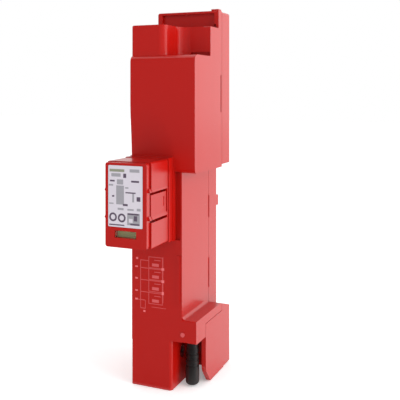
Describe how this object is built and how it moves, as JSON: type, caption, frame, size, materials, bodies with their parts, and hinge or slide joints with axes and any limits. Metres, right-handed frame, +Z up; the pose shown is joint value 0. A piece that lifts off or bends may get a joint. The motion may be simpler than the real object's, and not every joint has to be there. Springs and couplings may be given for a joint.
{
  "type": "surge arrester",
  "caption": "Tall moulded surge arrester with a plug-in protection module on its front, and hook contacts and a sliding latch on its back for busbars.",
  "frame": {"origin": "bottom face of the front housing, halfway across the upper block's width and the housing's depth", "axes": "+X to the device's right, +Y to the back, where the busbars are, and +Z up"},
  "size_m": [0.036, 0.0826, 0.1944],
  "materials": {
    "red_plastic": "satin moulded plastic",
    "dark_plastic": "matt black plastic",
    "white_label": "printed film",
    "green_window": "glossy tinted plastic",
    "tinned_copper": "tinned copper",
    "zinc_steel": "zinc plated",
    "ceramic": "glazed ceramic",
    "circuit_board": "lacquered board",
    "varistor_coating": "dipped coating"
  },
  "bodies": {
    "housing": {"front_housing": "red_plastic", "rear_housing": "red_plastic", "latch_spring": "zinc_steel", "socket_insert": "dark_plastic", "contact_clip_1": "tinned_copper", "contact_clip_2": "tinned_copper", "contact_clip_3": "tinned_copper", "contact_clip_4": "tinned_copper", "phase_bar_1": "tinned_copper", "phase_bar_2": "tinned_copper", "phase_bar_3": "tinned_copper", "earth_bar": "tinned_copper", "earth_terminal": "zinc_steel", "terminal_screw": "zinc_steel", "plug_socket": "dark_plastic", "terminal_plug": "dark_plastic", "signal_board": "circuit_board", "spark_gap_tube": "ceramic", "gap_cap_lower": "zinc_steel", "gap_cap_upper": "zinc_steel"},
    "module": {"module_case": "red_plastic", "module_cover": "red_plastic", "module_label": "white_label", "status_window": "green_window", "contact_blade_1": "tinned_copper", "contact_blade_2": "tinned_copper", "contact_blade_3": "tinned_copper", "contact_blade_4": "tinned_copper", "varistor_1": "varistor_coating", "varistor_2": "varistor_coating", "varistor_3": "varistor_coating"},
    "flag": {"status_flag": "green_window"},
    "right_key": {"release_key_right": "red_plastic"},
    "left_key": {"release_key_left": "red_plastic"},
    "latch": {"latch_slider": "dark_plastic"}
  },
  "joints": [
    {"name": "module_pull", "type": "slide", "parent": "housing", "child": "module", "axis": [0, -1, 0], "range_m": [0, 0.02]},
    {"name": "flag_drop", "type": "slide", "parent": "module", "child": "flag", "axis": [0, 0, -1], "range_m": [0, 0.0034]},
    {"name": "right_key_press", "type": "slide", "parent": "module", "child": "right_key", "axis": [-1, 0, 0], "range_m": [0, 0.0015], "stiffness_N_per_m": 500, "springref_m": -0.001},
    {"name": "left_key_press", "type": "slide", "parent": "module", "child": "left_key", "axis": [1, 0, 0], "range_m": [0, 0.0015], "stiffness_N_per_m": 500, "springref_m": -0.001},
    {"name": "latch_release", "type": "slide", "parent": "housing", "child": "latch", "axis": [0, 0, -1], "range_m": [0, 0.005], "stiffness_N_per_m": 300, "springref_m": -0.004, "deforming": ["latch_spring"]}
  ]
}
